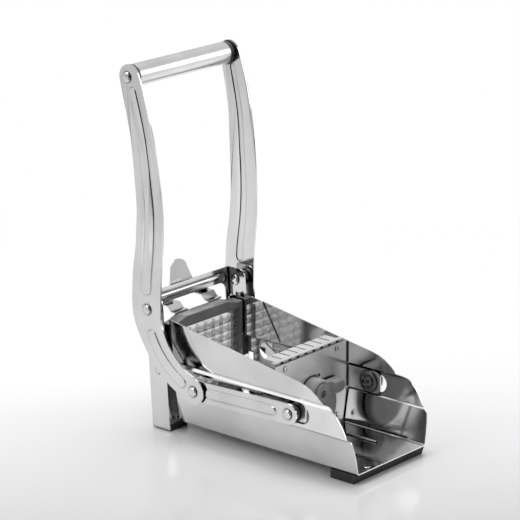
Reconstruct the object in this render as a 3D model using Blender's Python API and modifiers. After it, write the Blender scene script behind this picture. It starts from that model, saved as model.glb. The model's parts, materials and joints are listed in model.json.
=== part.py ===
"""Lever potato slicer: a folded steel trough with a fixed cutting grid at the
rear, a pusher carriage that slides in slots, and a U-shaped lever handle that
draws the carriage to the grid through two side links.

+X is the open front, +Z is up.  Left and right are as seen from the open front,
so the left side is at -Y.  Lengths in metres.
"""
import math

import bmesh
import bpy
from mathutils import Matrix, Vector

# Fits and sheet gauges
clearance = 0.0003
sliding_clearance = 0.0006
overrun = 0.0100
sheet_gauge = 0.0010
frame_gauge = 0.0012
arm_gauge = 0.0015
link_gauge = 0.0015

# Linkage, seen from the side; places along X are measured ahead of the handle's pivot
pivot_x = -0.1010
crank_forward = 0.0545
crank_drop = 0.0658
link_reach = 0.1080
grip_setback = 0.0179
grip_rise = 0.2120
pin_reach = crank_forward + link_reach

# Trough: cross section
trough_underside = 0.0088
floor_top = trough_underside + sheet_gauge
upper_wall_half_width = 0.0525
fold_step = 0.0023
lower_wall_step = 0.0012
lower_wall_lean = 0.0070
corner_width = 0.0015
corner_rise = 0.0012
wall_inner = upper_wall_half_width - sheet_gauge
middle_wall_half_width = upper_wall_half_width + fold_step
lower_wall_half_width = middle_wall_half_width - lower_wall_step
floor_half_width = lower_wall_half_width - lower_wall_lean
corner_half_width = floor_half_width + corner_width
lower_fold_height = 0.0400
middle_wall_height = 0.0240
fold_rise = 0.0022
wall_back_top = 0.1053
wall_front_drop = 0.0238
shoulder_drop = 0.0043
floor_back_rise = 0.0085
upper_fold_height = lower_fold_height + middle_wall_height
upper_fold_top = upper_fold_height + fold_rise
wall_front_top = wall_back_top - wall_front_drop
shoulder_top = wall_back_top - shoulder_drop
floor_back_top = lower_fold_height + floor_back_rise

# Rear frame, outside the trough's walls
frame_side_gap = 0.0010
frame_back = -0.0100
frame_depth = 0.0210
frame_rise = 0.0204
frame_lean = 0.0085
ear_corner_radius = 0.0060
crossbar_height = 0.0135
crossbar_bead_drop = 0.0064
crossbar_bead_radius = 0.0023
crossbar_bead_inset = 0.0150
post_width = 0.0062
post_gusset = 0.0080
leg_bottom = 0.0010
leg_return_bottom = 0.0070
leg_return_top = 0.0455
leg_return_width = 0.0130
window_margin = 0.0018
shelf_inset = 0.0011
shelf_overlap = 0.0060
upper_rivet_drop = 0.0060
pivot_drop = 0.0107
frame_inner = middle_wall_half_width + frame_side_gap
frame_half_width = frame_inner + frame_gauge
frame_top = wall_back_top + frame_rise
frame_front = frame_back + frame_depth
pivot_height = frame_top - pivot_drop

# Trough: side outline
slot_rise = 0.0130
slot_height = 0.0170
slot_length = 0.1505
slot_front_reach = 0.0190
wall_slope_reach = 0.0045
upper_nose_length = 0.0268
middle_nose_reach = 0.0190
middle_nose_length = 0.0228
lower_nose_reach = 0.0257
lower_nose_length = 0.0040
shoulder_reach = 0.0045
floor_back_reach = 0.0130
slot_centre_height = lower_fold_height + slot_rise
slot_front = pin_reach + slot_front_reach
slot_back = slot_front - slot_length
wall_slope_end = pin_reach + wall_slope_reach
middle_nose_start = slot_front + middle_nose_reach
lower_nose_start = middle_nose_start + lower_nose_reach
front_end = lower_nose_start + lower_nose_length
shoulder_front = frame_front + shoulder_reach
floor_back = frame_front + floor_back_reach
upper_nose_shares = ((0, 0), (0.26, 0.12), (0.51, 0.31), (0.76, 0.61), (0.92, 0.85), (1, 1))
middle_nose_shares = ((0, 0), (0.18, 0.05), (0.39, 0.18), (0.59, 0.37), (0.77, 0.59), (0.90, 0.79), (1, 1))
lower_nose_shares = ((0, 0), (0.43, 0.08), (0.71, 0.28), (0.93, 0.62), (1, 1))

# Trough: side recesses, cutter stops and floor bead
recess_depth = 0.0012
recess_length_top = 0.0190
recess_length_bottom = 0.0430
recess_corner_radius = 0.0030
cutter_stop_share = 0.8
floor_bead_setback = 0.0702
floor_bead_length = 0.0340
floor_bead_offset = 0.0240
floor_bead_radius = 0.0011

# Feet
front_foot_length = 0.0290
front_foot_overhang = 0.0022
front_foot_taper = 0.0026
front_foot_setback = 0.0012
foot_rivet_setback = 0.0050
foot_rivet_inset = 0.0176
rear_foot_width = 0.0228
front_foot_half_width = floor_half_width + front_foot_overhang
rear_foot_inner = frame_inner - rear_foot_width

# Links and handle arms, stacked outside the rear frame
link_standoff = 0.0030
link_width = 0.0192
link_bead_height = 0.0009
link_bead_width = 0.0090
link_bead_inset = 0.0160
link_bead_end = 0.0175
link_groove_width = 0.0062
arm_standoff = 0.0015
arm_splay = 0.0030
arm_splay_start = 0.0900
arm_top_width = 0.0235
arm_pivot_width = 0.0345
arm_tip_radius = 0.0122
arm_rib_height = 0.0007
arm_rib_width = 0.0086
arm_rib_growth_share = 0.44
arm_groove_share = 0.7
lower_rib_width = 0.0100
link_inner = frame_half_width + link_standoff
link_outer = link_inner + link_gauge
arm_inner = link_outer + arm_standoff
arm_half_width = arm_inner + arm_gauge

# Handle arm: spine from the grip to the pivot and on to the crank pin, and widths at the same places
upper_arm_shares = (
    (0.87, 1.00),
    (0.52, 0.90),
    (0.10, 0.74),
    (-0.12, 0.57),
    (-0.24, 0.42),
    (-0.17, 0.27),
    (0.02, 0.14),
    (0.06, 0.00),
)
upper_width_shares = (0, 0.18, 0.34, 0.62, 0.70, 0.84, 0.96, 1)
lower_arm_shares = ((0.04, 0.24), (0.27, 0.58), (0.62, 0.85), (1, 1))
lower_width_shares = (0.66, 0.30, 0.10, 0)
upper_rib_shares = (0.06, 0.58)
lower_rib_shares = (0.76, 0.94)

# Grip
grip_radius = 0.01025
grip_wall = 0.0012
grip_cap_thickness = 0.0040
grip_cap_spigot = 0.0050
grip_rod_radius = 0.0030

# Rivets, washers and bushes
rivet_shank_radius = 0.0029
rivet_head_radius = 0.0047
rivet_head_height = 0.0015
washer_radius = 0.0072
spacer_radius = 0.0062
bush_end_gap = 0.0004
eyelet_radius = 0.0096
eyelet_thickness = 0.0008
small_rivet_radius = 0.0017
small_rivet_head_radius = 0.0030
small_rivet_head_height = 0.0010
bore_radius = rivet_shank_radius + clearance
bush_radius = slot_height / 2 - clearance

# Cutting grid, in a moulded frame on the rear frame's shelf
columns = 8
rows = 8
shelf_rise = 0.0005
cutter_back_gap = 0.0120
cutter_side_gap = 0.0018
cutter_top_drop = 0.0020
cutter_bottom_border = 0.0115
cutter_top_border = 0.0085
grid_side_margin = 0.0075
grid_setback = 0.0005
blade_front_inset = 0.0005
blade_thickness = 0.0006
cutter_hump_height = 0.0040
cutter_hump_half_width = 0.0270
cutter_hump_shoulder = 0.0170
cutter_mouth_flare = 0.0022
cutter_mouth_depth = 0.0060
trough_setback = 0.0045
cutter_back = frame_back + cutter_back_gap
trough_back = cutter_back - trough_setback
shelf_top = floor_top + shelf_rise + frame_gauge
cutter_bottom = shelf_top + clearance
cutter_top = shoulder_top - cutter_top_drop
cutter_half_width = wall_inner - cutter_side_gap
grid_half_width = wall_inner - grid_side_margin
grid_bottom = cutter_bottom + cutter_bottom_border
grid_top = cutter_top - cutter_top_border
cell_width = 2 * grid_half_width / columns
cell_height = (grid_top - grid_bottom) / rows
window_bottom = grid_bottom - window_margin
shelf_half_width = floor_half_width - shelf_inset

# Carriage
carriage_pin_setback = 0.0245
carriage_side_gap = 0.0017
carriage_bottom_gap = 0.0004
carriage_top_drop = 0.0035
carriage_floor_gap = 0.0032
carriage_taper_height = 0.0180
carriage_wing_length = 0.0390
carriage_wing_margin = 0.0032
carriage_wing_radius = 0.0060
peg_side_inset = 0.0138
peg_drop = 0.0047
low_peg_rise = 0.0060
carriage_front = pin_reach - carriage_pin_setback
carriage_top = grid_top - carriage_top_drop
carriage_bottom = floor_top + carriage_floor_gap
carriage_half_width = wall_inner - carriage_side_gap
carriage_bottom_half_width = floor_half_width - carriage_bottom_gap
carriage_wing_height = middle_wall_height - carriage_wing_margin
carriage_wing_outer = middle_wall_half_width - sheet_gauge - sliding_clearance

# Pusher block
block_side_gap = 0.0040
block_thickness = 0.0047
block_rise = 0.0028
block_margin = 0.0070
block_window_width = 0.0042
block_window_height = 0.0026
block_window_depth = 0.0026
stud_length = 0.0130
stud_point = 0.0022
stud_clearance = 0.0008
stud_tip_share = 0.25
block_half_width = wall_inner - block_side_gap
block_top = carriage_top + block_rise
block_bottom = grid_bottom - block_margin

# Latch
latch_gauge = 0.0012
latch_pin_radius = 0.0015
latch_pin_setback = 0.0046
latch_pin_drop = 0.0070
latch_barrel_wall = 0.0012
latch_side_gap = 0.0210
latch_lug_width = 0.0040
latch_leg_drop = 0.0044
tongue_rise = 0.0245
tongue_lean = 0.0055
tongue_root_half_width = 0.0160
tongue_tip_half_width = 0.0110
latch_arch_half_width = 0.0115
latch_foot_reach = 0.0212
latch_toe_length = 0.0050
latch_foot_inner = 0.0140
latch_foot_inset = 0.0040
latch_bend_share = 0.55
tongue_neck_share = 0.62
latch_half_width = frame_half_width - latch_side_gap
latch_foot_outer = latch_half_width - latch_foot_inset
latch_pin_height = frame_top - latch_pin_drop
latch_leg_bottom = frame_top - crossbar_height - latch_leg_drop

# Turn knob, and the arc slot above it in the carriage plate
knob_rise = 0.0390
knob_hub_radius = 0.0130
knob_hub_height = 0.0138
knob_ring_radius = 0.0092
knob_ring_rise = 0.0016
knob_wing_reach = 0.0345
knob_wing_width = 0.0125
knob_wing_height = 0.0118
knob_wing_radius = 0.0050
knob_valley_radius = 0.0290
knob_valley_rise = 0.0210
knob_paddle_radius = 0.0260
knob_paddle_drop = 0.0140
knob_paddle_height = 0.0094
knob_screw_radius = 0.0020
knob_screw_head_radius = 0.0034
knob_screw_head_height = 0.0014
arc_slot_radius = 0.0274
arc_slot_offset = 0.0036
arc_slot_drop = 0.0142
arc_slot_width = 0.0012
arc_slot_end_size = 0.0026
arc_slot_start_turn = 73
arc_slot_end_turn = 112
knob_centre_height = carriage_bottom + knob_rise

# Places in the world that follow from the sizes above
crank_x = pivot_x + crank_forward
crank_height = pivot_height - crank_drop
carriage_pin_x = pivot_x + pin_reach
grip_x = pivot_x - grip_setback
grip_height = pivot_height + grip_rise
carriage_x = pivot_x + carriage_front
cutter_x = pivot_x + cutter_back
return_x = pivot_x + frame_front + frame_lean * (1 - leg_return_top / frame_top)
cutter_front = return_x - frame_gauge - clearance
latch_pin_x = pivot_x + frame_back - latch_pin_setback

# Colours: base colour, metallic value, roughness
steel_look = ((0.78, 0.79, 0.80), 1.0, 0.12)
satin_look = ((0.74, 0.75, 0.76), 1.0, 0.28)
grey_plastic_look = ((0.30, 0.31, 0.32), 0.0, 0.45)
dark_plastic_look = ((0.10, 0.10, 0.105), 0.0, 0.42)
rubber_look = ((0.02, 0.02, 0.02), 0.0, 0.65)

SIDES = (-1, 1)
SIDE_NAMES = {-1: "left", 1: "right"}

# Frames for flat outlines: local x and y run along the two named world axes
SIDE_VIEW = Matrix(((1, 0, 0), (0, 0, -1), (0, 1, 0))).to_4x4()
FRONT_VIEW = Matrix(((0, 0, 1), (1, 0, 0), (0, 1, 0))).to_4x4()
TOP_VIEW = Matrix.Identity(4)
flat_angle = math.radians(0.3)


def clear_scene():
    for old in list(bpy.data.objects):
        bpy.data.objects.remove(old)


def make_collection(name):
    group = bpy.data.collections.new(name)
    bpy.context.scene.collection.children.link(group)
    return group


def make_material(name, look):
    colour, metallic, roughness = look
    material = bpy.data.materials.new(name)
    material.use_nodes = True
    shader = material.node_tree.nodes["Principled BSDF"]
    shader.inputs["Base Color"].default_value = (*colour, 1)
    shader.inputs["Metallic"].default_value = metallic
    shader.inputs["Roughness"].default_value = roughness
    return material


def mesh_object(name, mesh):
    piece = bpy.data.objects.new(name, mesh)
    bpy.context.scene.collection.objects.link(piece)
    return piece


def bmesh_object(name, shape):
    mesh = bpy.data.meshes.new(name)
    bmesh.ops.recalc_face_normals(shape, faces=shape.faces)
    shape.to_mesh(mesh)
    shape.free()
    return mesh_object(name, mesh)


def evaluated_mesh(piece):
    bpy.context.view_layer.update()
    graph = bpy.context.evaluated_depsgraph_get()
    return bpy.data.meshes.new_from_object(piece.evaluated_get(graph))


def bake(piece):
    """Apply a piece's modifiers."""
    mesh = evaluated_mesh(piece)
    piece.modifiers.clear()
    piece.data = mesh
    return piece


def combine(piece, other, operation):
    """Cut, join or intersect a piece with another, which is used up."""
    modifier = piece.modifiers.new(operation.title(), "BOOLEAN")
    modifier.operation = operation
    modifier.solver = "EXACT"
    modifier.object = other
    bake(piece)
    bpy.data.objects.remove(other)
    return piece


def cut(piece, *cutters):
    for cutter in cutters:
        combine(piece, cutter, "DIFFERENCE")
    return piece


def join(piece, *others):
    for other in others:
        combine(piece, other, "UNION")
    return piece


def shade_round(piece, angle=40):
    piece.data.shade_smooth()
    piece.data.set_sharp_from_angle(angle=math.radians(angle))
    return piece


def round_edges(piece, width, segments=2, angle=50):
    modifier = piece.modifiers.new("Rounded edges", "BEVEL")
    modifier.width = width
    modifier.segments = segments
    modifier.limit_method = "ANGLE"
    modifier.angle_limit = math.radians(angle)
    return bake(piece)


def flat_plate(name, outline, view, low, high):
    """Plate with a closed outline, from low to high along its normal."""
    curve = bpy.data.curves.new(name, "CURVE")
    curve.dimensions = "2D"
    curve.fill_mode = "BOTH"
    curve.extrude = (high - low) / 2
    spline = curve.splines.new("POLY")
    spline.points.add(len(outline) - 1)
    for point, (across, up) in zip(spline.points, outline):
        point.co = (across, up, 0, 1)
    spline.use_cyclic_u = True
    drawn = mesh_object(name + " outline", curve)
    middle = (low + high) / 2
    if view is SIDE_VIEW:
        middle = -middle
    drawn.matrix_world = view @ Matrix.Translation((0, 0, middle))
    mesh = evaluated_mesh(drawn)
    mesh.transform(drawn.matrix_world)
    bpy.data.objects.remove(drawn)
    shape = bmesh.new()
    shape.from_mesh(mesh)
    bmesh.ops.remove_doubles(shape, verts=shape.verts, dist=clearance / 30)
    bmesh.ops.dissolve_limit(shape, angle_limit=flat_angle, verts=shape.verts, edges=shape.edges)
    return bmesh_object(name, shape)


def block(name, low, high):
    """Rectangular block between two corners."""
    shape = bmesh.new()
    bmesh.ops.create_cube(shape, size=1)
    size = [high[i] - low[i] for i in range(3)]
    centre = [(high[i] + low[i]) / 2 for i in range(3)]
    place = Matrix.Translation(centre) @ Matrix.Diagonal((*size, 1))
    bmesh.ops.transform(shape, matrix=place, verts=shape.verts)
    return bmesh_object(name, shape)


def cylinder(name, radius, axis, centre, low, high, sides=20):
    """Cylinder along X or Y between two places on that axis."""
    shape = bmesh.new()
    bmesh.ops.create_cone(
        shape, cap_ends=True, segments=sides, radius1=radius, radius2=radius, depth=high - low
    )
    middle = (low + high) / 2
    if axis == "X":
        place = Matrix.Translation((middle, *centre)) @ Matrix.Rotation(math.pi / 2, 4, "Y")
    elif axis == "Y":
        place = Matrix.Translation((centre[0], middle, centre[1])) @ Matrix.Rotation(math.pi / 2, 4, "X")
    else:
        place = Matrix.Translation((*centre, middle))
    bmesh.ops.transform(shape, matrix=place, verts=shape.verts)
    return bmesh_object(name, shape)


def turned(name, profile, axis, centre, sides=12):
    """Turn a profile of (radius, distance along the axis) pairs about an axis.

    The profile starts and ends on the axis, or closes on itself.
    """
    mesh = bpy.data.meshes.new(name)
    places = [(radius, 0, along) for radius, along in profile]
    count = len(places)
    closed = profile[0][0] > 0
    edges = [(i, i + 1) for i in range(count - 1)]
    if closed:
        edges.append((count - 1, 0))
    mesh.from_pydata(places, edges, [])
    piece = mesh_object(name, mesh)
    screw = piece.modifiers.new("Turned", "SCREW")
    screw.axis = "Z"
    screw.steps = sides
    screw.render_steps = sides
    screw.use_merge_vertices = True
    screw.merge_threshold = clearance / 30
    screw.use_normal_calculate = True
    bake(piece)
    shape = bmesh.new()
    shape.from_mesh(piece.data)
    bmesh.ops.remove_doubles(shape, verts=shape.verts, dist=clearance / 30)
    if axis == "X":
        place = Matrix.Translation((0, *centre)) @ Matrix.Rotation(math.pi / 2, 4, "Y")
    elif axis == "Y":
        place = Matrix.Translation((centre[0], 0, centre[1])) @ Matrix.Rotation(-math.pi / 2, 4, "X")
    else:
        place = Matrix.Translation((*centre, 0))
    bmesh.ops.transform(shape, matrix=place, verts=shape.verts)
    bpy.data.objects.remove(piece)
    return shade_round(bmesh_object(name, shape))


def mirrored(piece, name):
    """A copy of a piece on the other side of the XZ plane."""
    shape = bmesh.new()
    shape.from_mesh(piece.data)
    bmesh.ops.scale(shape, vec=(1, -1, 1), verts=shape.verts)
    copy = bmesh_object(name, shape)
    return copy


def both_sides(name, right):
    """A piece on the right-hand side and its mirror copy on the left."""
    right.name = "right_" + name
    return [shade_round(mirrored(right, "left_" + name)), shade_round(right)]


def arc(centre, radius, start, end, steps):
    """Points on an arc; angles in degrees."""
    return [
        (
            centre[0] + radius * math.cos(math.radians(start + (end - start) * i / steps)),
            centre[1] + radius * math.sin(math.radians(start + (end - start) * i / steps)),
        )
        for i in range(steps + 1)
    ]


def capsule(start, end, radius, steps=10):
    """Outline of a straight strip with round ends."""
    along = math.degrees(math.atan2(end[1] - start[1], end[0] - start[0]))
    return arc(end, radius, along - 90, along + 90, steps) + arc(start, radius, along + 90, along + 270, steps)


def rounded_rectangle(low, high, radius, steps=4):
    corners = (
        ((high[0] - radius, low[1] + radius), -90),
        ((high[0] - radius, high[1] - radius), 0),
        ((low[0] + radius, high[1] - radius), 90),
        ((low[0] + radius, low[1] + radius), 180),
    )
    outline = []
    for centre, start in corners:
        outline += arc(centre, radius, start, start + 90, steps)
    return outline


def smooth_points(points, steps=3):
    """Points on a smooth curve through the given points."""
    path = []
    last = len(points) - 1
    for i in range(last):
        before, start = points[max(i - 1, 0)], points[i]
        end, after = points[i + 1], points[min(i + 2, last)]
        for k in range(steps):
            t = k / steps
            weights = (
                -0.5 * t + t * t - 0.5 * t ** 3,
                1 - 2.5 * t * t + 1.5 * t ** 3,
                0.5 * t + 2 * t * t - 1.5 * t ** 3,
                -0.5 * t * t + 0.5 * t ** 3,
            )
            path.append(
                tuple(
                    sum(w * p[axis] for w, p in zip(weights, (before, start, end, after)))
                    for axis in range(2)
                )
            )
    path.append(tuple(points[-1]))
    return path


def round_strip(spine, widths, steps):
    """Closed outline of a strip with round ends and a changing width along a spine."""
    left, right = [], []
    for i, (place, width) in enumerate(zip(spine, widths)):
        behind, ahead = spine[max(i - 1, 0)], spine[min(i + 1, len(spine) - 1)]
        run, rise = ahead[0] - behind[0], ahead[1] - behind[1]
        length = math.hypot(run, rise)
        side = (-rise / length * width / 2, run / length * width / 2)
        left.append((place[0] + side[0], place[1] + side[1]))
        right.append((place[0] - side[0], place[1] - side[1]))
    far, near = spine[-1], spine[0]
    far_turn = math.degrees(math.atan2(left[-1][1] - far[1], left[-1][0] - far[0]))
    near_turn = math.degrees(math.atan2(right[0][1] - near[1], right[0][0] - near[0]))
    far_end = arc(far, widths[-1] / 2, far_turn, far_turn - 180, steps)[1:-1]
    near_end = arc(near, widths[0] / 2, near_turn, near_turn - 180, steps)[1:-1]
    return left + far_end + right[::-1] + near_end


def domed_head(face, radius=rivet_head_radius, height=rivet_head_height):
    """Profile of a domed rivet head that sits on a face, from the axis out to the shank's side."""
    rise_shares = ((0, 1), (0.7, 0.9), (1, 0.3), (1, 0))
    return [(radius * out_share, face + height * rise_share) for out_share, rise_share in rise_shares]


def nose(start_x, start_height, length, drop, shares):
    """Points of a rounded front edge."""
    return [(pivot_x + start_x + length * u, start_height - drop * v) for u, v in shares]


def trough_side_outline():
    outline = [
        (pivot_x + floor_back, trough_underside - overrun),
        (pivot_x + floor_back, floor_back_top),
        (pivot_x + trough_back, floor_back_top),
        (pivot_x + trough_back, shoulder_top),
        (pivot_x + shoulder_front, shoulder_top),
        (pivot_x + shoulder_front, wall_back_top),
    ]
    upper_nose_drop = wall_front_top - upper_fold_top - clearance
    outline += nose(wall_slope_end, wall_front_top, upper_nose_length, upper_nose_drop, upper_nose_shares)
    middle_drop = upper_fold_top - lower_fold_height
    outline += nose(middle_nose_start, upper_fold_top, middle_nose_length, middle_drop, middle_nose_shares)
    lower_drop = lower_fold_height - trough_underside
    outline += nose(lower_nose_start, lower_fold_height, lower_nose_length, lower_drop, lower_nose_shares)
    outline.append((pivot_x + front_end, trough_underside - overrun))
    return outline


def trough_section():
    """Outer line of the folded sheet, from one top edge round to the other."""
    half = [
        (floor_half_width, trough_underside),
        (corner_half_width, trough_underside + corner_rise),
        (lower_wall_half_width, lower_fold_height),
        (middle_wall_half_width, lower_fold_height + corner_rise),
        (middle_wall_half_width, upper_fold_height),
        (upper_wall_half_width, upper_fold_top),
        (upper_wall_half_width, wall_back_top + overrun),
    ]
    return [(-y, z) for y, z in reversed(half)] + half


def swept_sheet(name, line, sweep, outward, gauge):
    """Folded sheet: a line swept by a vector, with its gauge away from the outward side."""
    shape = bmesh.new()
    corners = [shape.verts.new(place) for place in line]
    edges = [shape.edges.new((corners[i], corners[i + 1])) for i in range(len(corners) - 1)]
    swept = bmesh.ops.extrude_edge_only(shape, edges=edges)
    moved = [item for item in swept["geom"] if isinstance(item, bmesh.types.BMVert)]
    bmesh.ops.translate(shape, verts=moved, vec=sweep)
    sheet = bmesh_object(name, shape)
    facing = max(sheet.data.polygons, key=lambda face: abs(face.normal.dot(outward)) * face.area)
    if facing.normal.dot(outward) < 0:
        sheet.data.flip_normals()
    solidify = sheet.modifiers.new("Gauge", "SOLIDIFY")
    solidify.thickness = gauge
    solidify.offset = -1
    solidify.use_even_offset = True
    return bake(sheet)


def recess_outline(margin):
    """Side outline of the pressed recess behind the slanted line of the wall."""
    low = upper_fold_top + clearance - margin
    high = wall_back_top + overrun
    front_top = shoulder_front + recess_length_top + margin
    front_bottom = shoulder_front + recess_length_bottom + margin
    radius = recess_corner_radius
    back = shoulder_front + clearance - margin
    slope = (front_bottom - front_top) / (wall_back_top - low)
    return [
        (pivot_x + back, low),
        (pivot_x + front_bottom - radius, low),
        (pivot_x + front_bottom - radius * slope / 2, low + radius / 2),
        (pivot_x + front_bottom - radius * slope, low + radius),
        (pivot_x + front_top - slope * (high - wall_back_top), high),
        (pivot_x + back, high),
    ]


def build_trough():
    front = pivot_x + front_end
    back = pivot_x + trough_back - overrun
    line = [(back, y, z) for y, z in trough_section()]
    sweep = (front + overrun - back, 0, 0)
    trough = swept_sheet("trough", line, sweep, Vector((0, 0, -1)), sheet_gauge)
    outer = middle_wall_half_width + overrun
    slot_radius = slot_height / 2
    slot = capsule(
        (pivot_x + slot_back + slot_radius, slot_centre_height),
        (pivot_x + slot_front - slot_radius, slot_centre_height),
        slot_radius,
    )
    cut(trough, flat_plate("slot cutter", slot, SIDE_VIEW, -outer, outer))
    stop_width = grid_side_margin * cutter_stop_share
    for side in SIDES:
        low, high = sorted((side * wall_inner - side * clearance, side * outer))
        cut(trough, flat_plate("recess cutter", recess_outline(0), SIDE_VIEW, low, high))
        plate_outer = wall_inner + clearance
        plate_inner = plate_outer - recess_depth
        low, high = sorted((side * plate_inner, side * plate_outer))
        join(trough, flat_plate("recess plate", recess_outline(sheet_gauge), SIDE_VIEW, low, high))
        stop_front = cutter_x - clearance
        low, high = sorted((side * (wall_inner - stop_width), side * (wall_inner + sheet_gauge / 2)))
        stop_low = (stop_front - sheet_gauge, low, upper_fold_top)
        join(trough, block("cutter stop", stop_low, (stop_front, high, shoulder_top - clearance)))
    keep = flat_plate("side outline", trough_side_outline(), SIDE_VIEW, -outer, outer)
    combine(trough, keep, "INTERSECT")
    hole = small_rivet_radius + clearance
    cut(trough, cylinder("rivet hole", hole, "Z", foot_rivet_place(), 0, floor_top + clearance, 16))
    for x, height in frame_rivet_places():
        cut(trough, cylinder("rivet hole", small_rivet_radius + clearance, "Y", (x, height), -outer, outer, 16))
    bead = cylinder(
        "floor bead",
        floor_bead_radius,
        "X",
        (floor_bead_offset, floor_top + floor_bead_radius - sheet_gauge / 2),
        front - floor_bead_setback,
        front - floor_bead_setback + floor_bead_length,
        12,
    )
    join(trough, bead)
    return trough


def foot_rivet_place():
    return (pivot_x + front_end - foot_rivet_setback, foot_rivet_inset - floor_half_width)


def frame_rivet_places():
    """Rivets that hold the trough's walls in the rear frame: low and high."""
    x = pivot_x + frame_back + frame_depth * 3 / 4
    low = (floor_back_top + upper_fold_height) / 2
    high = shoulder_top - upper_rivet_drop
    return [(x, low), (x, high)]


def build_front_foot():
    front = pivot_x + front_end - front_foot_setback
    top = trough_underside - clearance
    foot = block(
        "front_foot",
        (front - front_foot_length, -front_foot_half_width, 0),
        (front, front_foot_half_width, top),
    )
    for vertex in foot.data.vertices:
        if vertex.co.z < top / 2:
            vertex.co.x -= front_foot_taper if vertex.co.x > front - front_foot_length / 2 else 0
    round_edges(foot, clearance * 2, 1)
    hole = small_rivet_radius + clearance
    return cut(foot, cylinder("rivet hole", hole, "Z", foot_rivet_place(), top / 2, top + overrun, 16))


def build_foot_rivet():
    face = floor_top + clearance
    low = trough_underside / 2 + clearance
    profile = domed_head(face, small_rivet_head_radius, small_rivet_head_height)
    profile += [(small_rivet_radius, face), (small_rivet_radius, low), (0, low)]
    return turned("left_foot_rivet", profile, "Z", foot_rivet_place(), 12)


def build_rear_feet():
    """Blocks of rubber in the channels of the rear legs."""
    back = pivot_x + frame_back + frame_lean + frame_gauge + clearance
    front = pivot_x + frame_front + frame_lean
    outer = frame_inner - clearance
    foot = block("foot", (back, rear_foot_inner, 0), (front, outer, leg_return_bottom - clearance))
    round_edges(foot, clearance * 2, 1)
    return both_sides("rear_foot", foot)


def lean_forward(piece):
    """Shear the frame so that its legs run forward towards the floor."""
    for vertex in piece.data.vertices:
        vertex.co.x += frame_lean * (1 - vertex.co.z / frame_top)
    return piece


def build_rear_frame():
    """Sheet frame: a back with a window, two leaning sides and a shelf under the cutter."""
    back = pivot_x + frame_back
    front = back + frame_depth
    return_edge = frame_half_width - leg_return_width
    plan = [
        (front, -return_edge),
        (front, -frame_half_width),
        (back, -frame_half_width),
        (back, frame_half_width),
        (front, frame_half_width),
        (front, return_edge),
    ]
    line = [(x, y, leg_bottom) for x, y in plan]
    sweep = (0, 0, frame_top - leg_bottom)
    frame = swept_sheet("rear_frame", line, sweep, Vector((-1, 0, 0)), frame_gauge)
    outer = frame_half_width + overrun
    for low, high in ((-overrun, leg_return_bottom), (leg_return_top, frame_top + overrun)):
        spare = block("spare", (front - frame_gauge - clearance, -frame_inner, low), (front + overrun, frame_inner, high))
        cut(frame, spare)
    centre = (front - ear_corner_radius, frame_top - ear_corner_radius)
    ear = [(front + overrun, centre[1])] + arc(centre, ear_corner_radius, 0, 90, 5)
    ear += [(centre[0], frame_top + overrun), (front + overrun, frame_top + overrun)]
    cut(frame, flat_plate("ear cutter", ear, SIDE_VIEW, -outer, outer))

    half = frame_half_width - post_width
    top = frame_top - crossbar_height
    window = [(-half, window_bottom), (half, window_bottom)]
    window += arc((half - post_gusset, top - post_gusset), post_gusset, 0, 90, 5)
    window += arc((-half + post_gusset, top - post_gusset), post_gusset, 90, 180, 5)
    cut(frame, flat_plate("window cutter", window, FRONT_VIEW, back - overrun, back + frame_gauge + overrun))
    shelf_low = shelf_top - frame_gauge
    arch = block("arch", (back - overrun, -half, -overrun), (back + frame_gauge + overrun, half, shelf_low + clearance))
    cut(frame, arch)
    shelf_front = pivot_x + floor_back + shelf_overlap - frame_lean
    shelf = block("shelf", (back + clearance, -shelf_half_width, shelf_low), (shelf_front, shelf_half_width, shelf_top))
    join(frame, shelf)
    bead_place = (back + frame_gauge, frame_top - crossbar_bead_drop)
    bead_half = frame_half_width - crossbar_bead_inset
    join(frame, cylinder("crossbar bead", crossbar_bead_radius, "Y", bead_place, -bead_half, bead_half, 12))
    lean_forward(frame)

    bore = latch_pin_radius + clearance
    lug_radius = bore + latch_barrel_wall
    for side in SIDES:
        inner = latch_half_width + clearance
        low, high = sorted((side * inner, side * (inner + latch_lug_width)))
        lug = cylinder("lug", lug_radius, "Y", (latch_pin_x, latch_pin_height), low, high, 16)
        web = block(
            "lug web",
            (latch_pin_x, low, latch_pin_height - lug_radius / 2),
            (back + frame_gauge, high, latch_pin_height + lug_radius / 2),
        )
        join(frame, join(lug, web))
    reach = latch_half_width + latch_lug_width + overrun
    cut(frame, cylinder("pin bore", bore, "Y", (latch_pin_x, latch_pin_height), -reach, reach, 16))
    outer = frame_half_width + overrun
    cut(frame, cylinder("pivot bore", bore_radius, "Y", (pivot_x, pivot_height), -outer, outer))
    for x, height in frame_rivet_places():
        cut(frame, cylinder("rivet hole", small_rivet_radius + clearance, "Y", (x, height), -outer, outer, 16))
    return frame


def build_frame_rivets():
    """Rivets through the frame's sides and the trough; the high ones carry a spacer collar."""
    rivets = []
    walls = (("lower", middle_wall_half_width), ("upper", upper_wall_half_width))
    for (x, height), (level, wall) in zip(frame_rivet_places(), walls):
        inner_face = wall - sheet_gauge - clearance
        outer_face = frame_half_width + clearance
        collar_low = wall + clearance
        collar_high = frame_inner - clearance
        profile = domed_head(outer_face, small_rivet_head_radius, small_rivet_head_height) + [
            (small_rivet_radius, outer_face),
            (small_rivet_radius, collar_high),
            (small_rivet_head_radius, collar_high),
            (small_rivet_head_radius, collar_low),
            (small_rivet_radius, collar_low),
            (small_rivet_radius, inner_face),
            (small_rivet_head_radius, inner_face),
            (small_rivet_head_radius, inner_face - small_rivet_head_height / 2),
            (0, inner_face - small_rivet_head_height / 2),
        ]
        rivets += both_sides(level + "_frame_rivet", turned("frame rivet", profile, "Y", (x, height), 10))
    return rivets


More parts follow.
